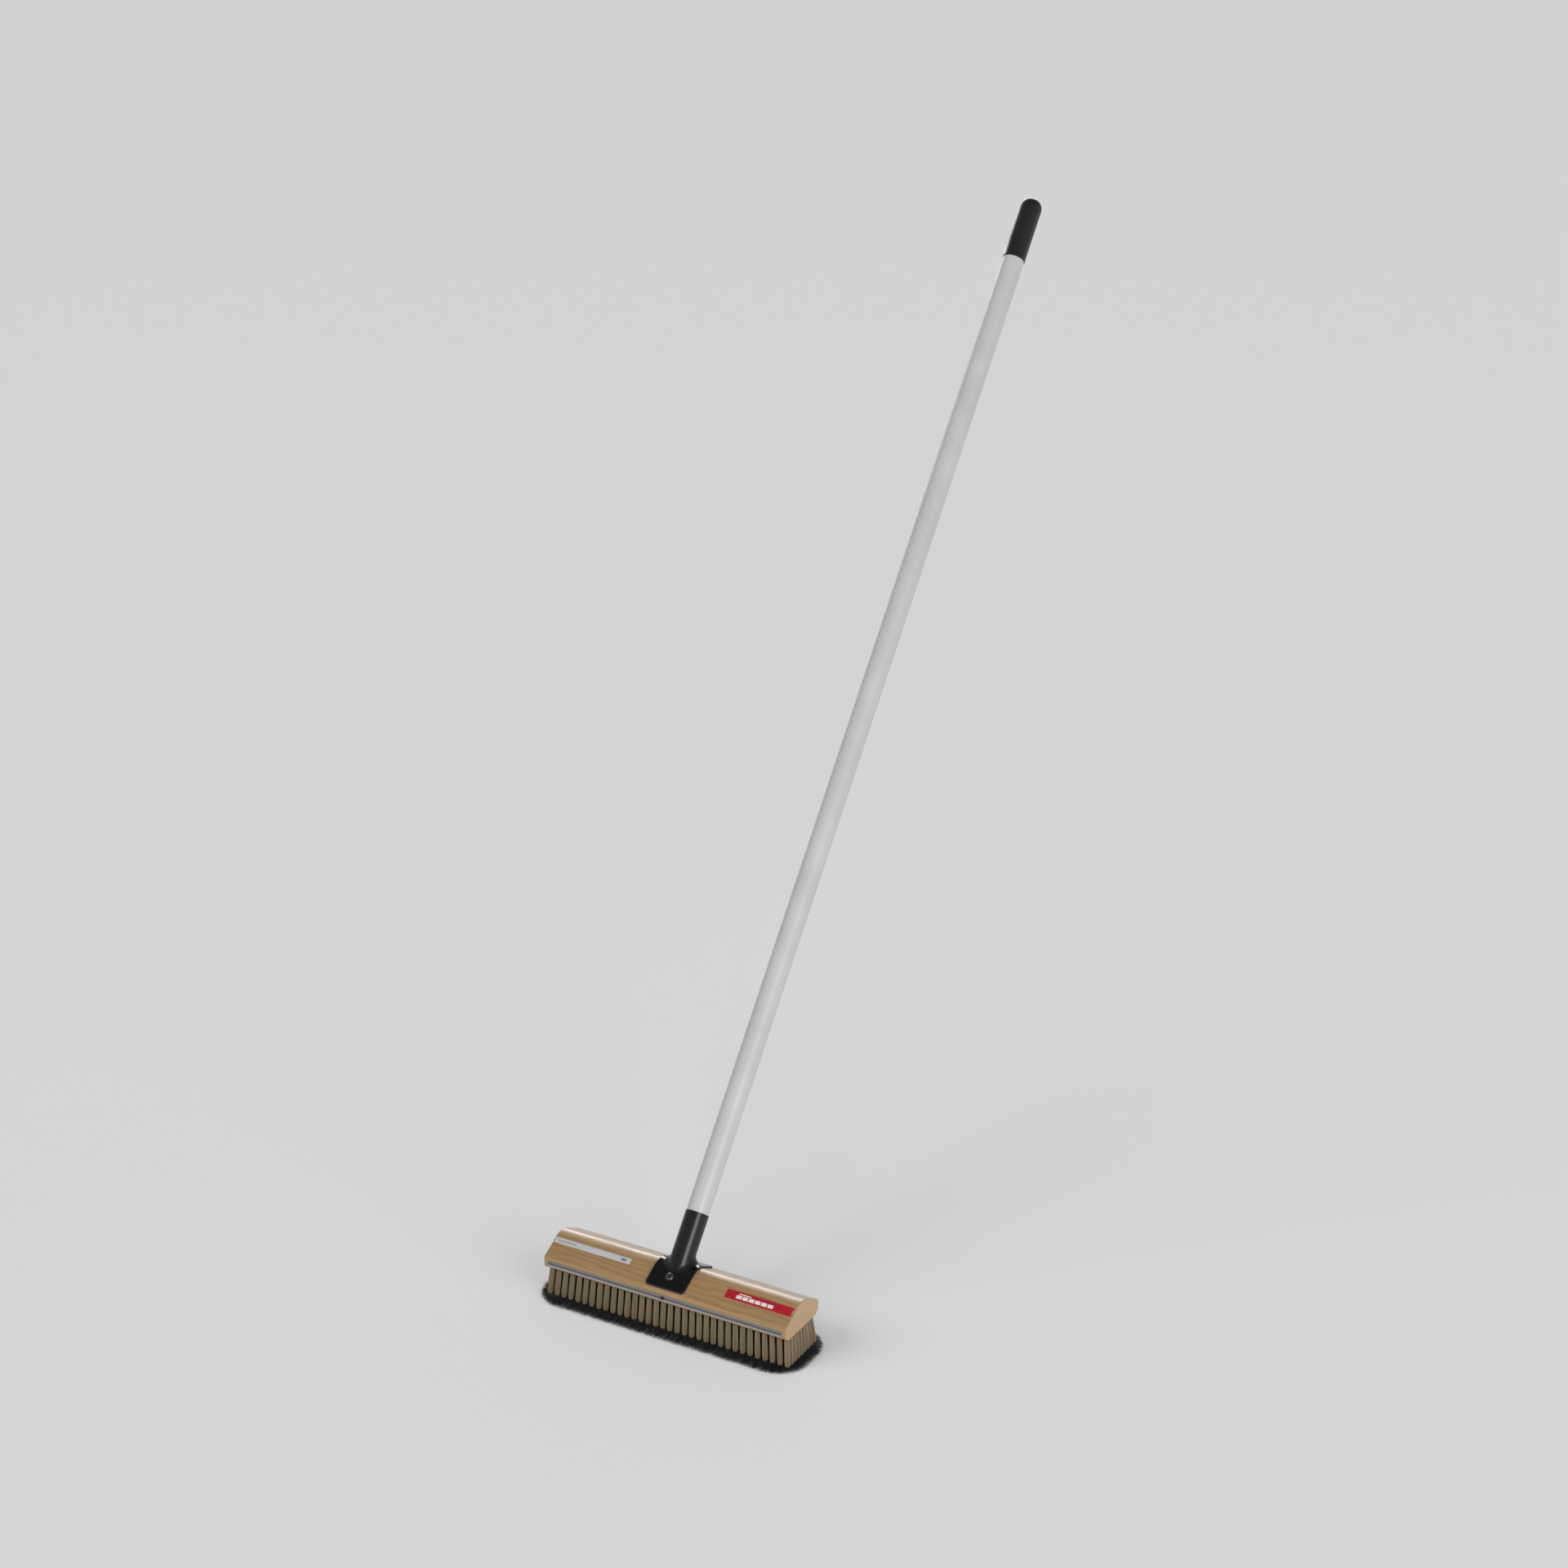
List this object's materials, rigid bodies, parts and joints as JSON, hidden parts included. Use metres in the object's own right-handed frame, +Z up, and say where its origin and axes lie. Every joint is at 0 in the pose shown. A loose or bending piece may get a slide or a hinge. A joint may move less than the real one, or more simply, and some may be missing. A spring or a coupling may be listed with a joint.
{
  "type": "push broom",
  "caption": "Push broom: contoured wood block with a stiff tan tuft border round fine black fibre, front scraper strip, saddle bracket and a long grey screw-in handle with an end grip.",
  "frame": {"origin": "on the floor under the middle of the block, at the middle of the fibres' lower face", "axes": "+X along the block, -Y the sweeping side with the scraper strip, +Z up; the handle leans back towards +Y"},
  "size_m": [0.394, 1.0291, 1.2707],
  "materials": {
    "wood": "sanded, thin clear lacquer",
    "tan_fibre": "stiff synthetic fibre, tan",
    "black_fibre": "fine synthetic fibre, black, flagged ends",
    "staple_wire": "flat anchor wire",
    "strip_metal": "extruded, brushed",
    "bracket_black": "gloss black stove enamel",
    "screw_black": "gloss black, domed head",
    "pin_black": "dark phosphated",
    "tube_paint": "light grey powder coat",
    "tip_plastic": "moulded, black",
    "grip_black": "satin moulded vinyl",
    "label_red": "printed film",
    "label_silver": "printed film"
  },
  "bodies": {
    "head": {"wood_block": "wood", "front_tuft_row": "tan_fibre", "rear_tuft_row": "tan_fibre", "left_tuft_column": "tan_fibre", "right_tuft_column": "tan_fibre", "tuft_staples": "staple_wire", "splayed_fibre_ends": "black_fibre", "scraper_strip": "strip_metal", "handle_bracket": "bracket_black", "front_bracket_screw": "screw_black", "rear_bracket_screw": "screw_black", "strip_screw": "pin_black", "red_label": "label_red", "silver_label": "label_silver", "black_tuft_row_1": "black_fibre", "black_tuft_row_2": "black_fibre", "black_tuft_row_3": "black_fibre", "black_tuft_row_4": "black_fibre", "black_tuft_row_5": "black_fibre", "black_tuft_row_6": "black_fibre", "black_tuft_row_7": "black_fibre"},
    "handle": {"handle_tube": "tube_paint", "threaded_tip": "tip_plastic", "end_grip": "grip_black"}
  },
  "joints": [
    {"name": "handle_unscrew", "type": "hinge", "parent": "head", "child": "handle", "pos_m": [0, 0.004, 0.0792], "axis": [0, 0.629, 0.7774], "range_deg": [0, 1260]}
  ]
}
